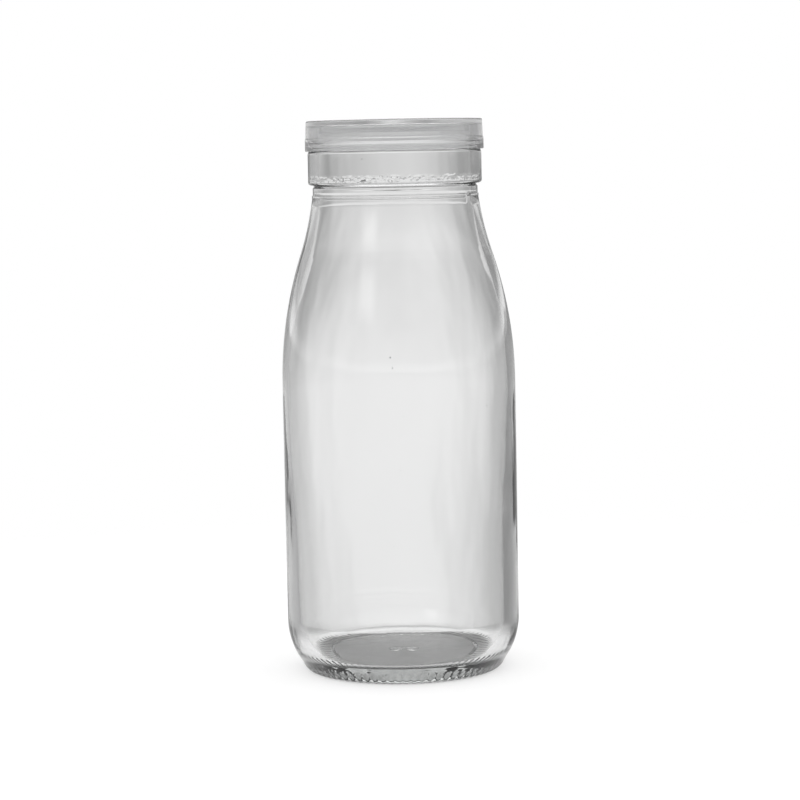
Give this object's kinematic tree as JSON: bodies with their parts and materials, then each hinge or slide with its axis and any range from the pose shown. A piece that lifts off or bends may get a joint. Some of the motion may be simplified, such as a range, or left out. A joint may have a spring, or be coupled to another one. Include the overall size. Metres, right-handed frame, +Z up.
{
  "type": "glass milk bottle",
  "caption": "Small clear glass milk bottle with a long sloping shoulder, a plain finish band and a translucent plastic snap lid.",
  "frame": {"origin": "on the bottle's axis, at the plane of the bearing knurls that it stands on", "axes": "+Z up along the bottle's axis; -Y is the front, towards which the two roundels under the base are set"},
  "size_m": [0.062, 0.062, 0.1461],
  "materials": {
    "clear_glass": "clear soda-lime glass, fire-polished",
    "lid_plastic": "natural translucent polyethylene, faintly frosted"
  },
  "bodies": {
    "bottle": {"glass_bottle": "clear_glass"},
    "lid": {"snap_lid": "lid_plastic"}
  },
  "joints": [
    {"name": "lid_lift", "type": "slide", "parent": "bottle", "child": "lid", "axis": [0, 0, 1], "range_m": [0, 0.04]}
  ]
}
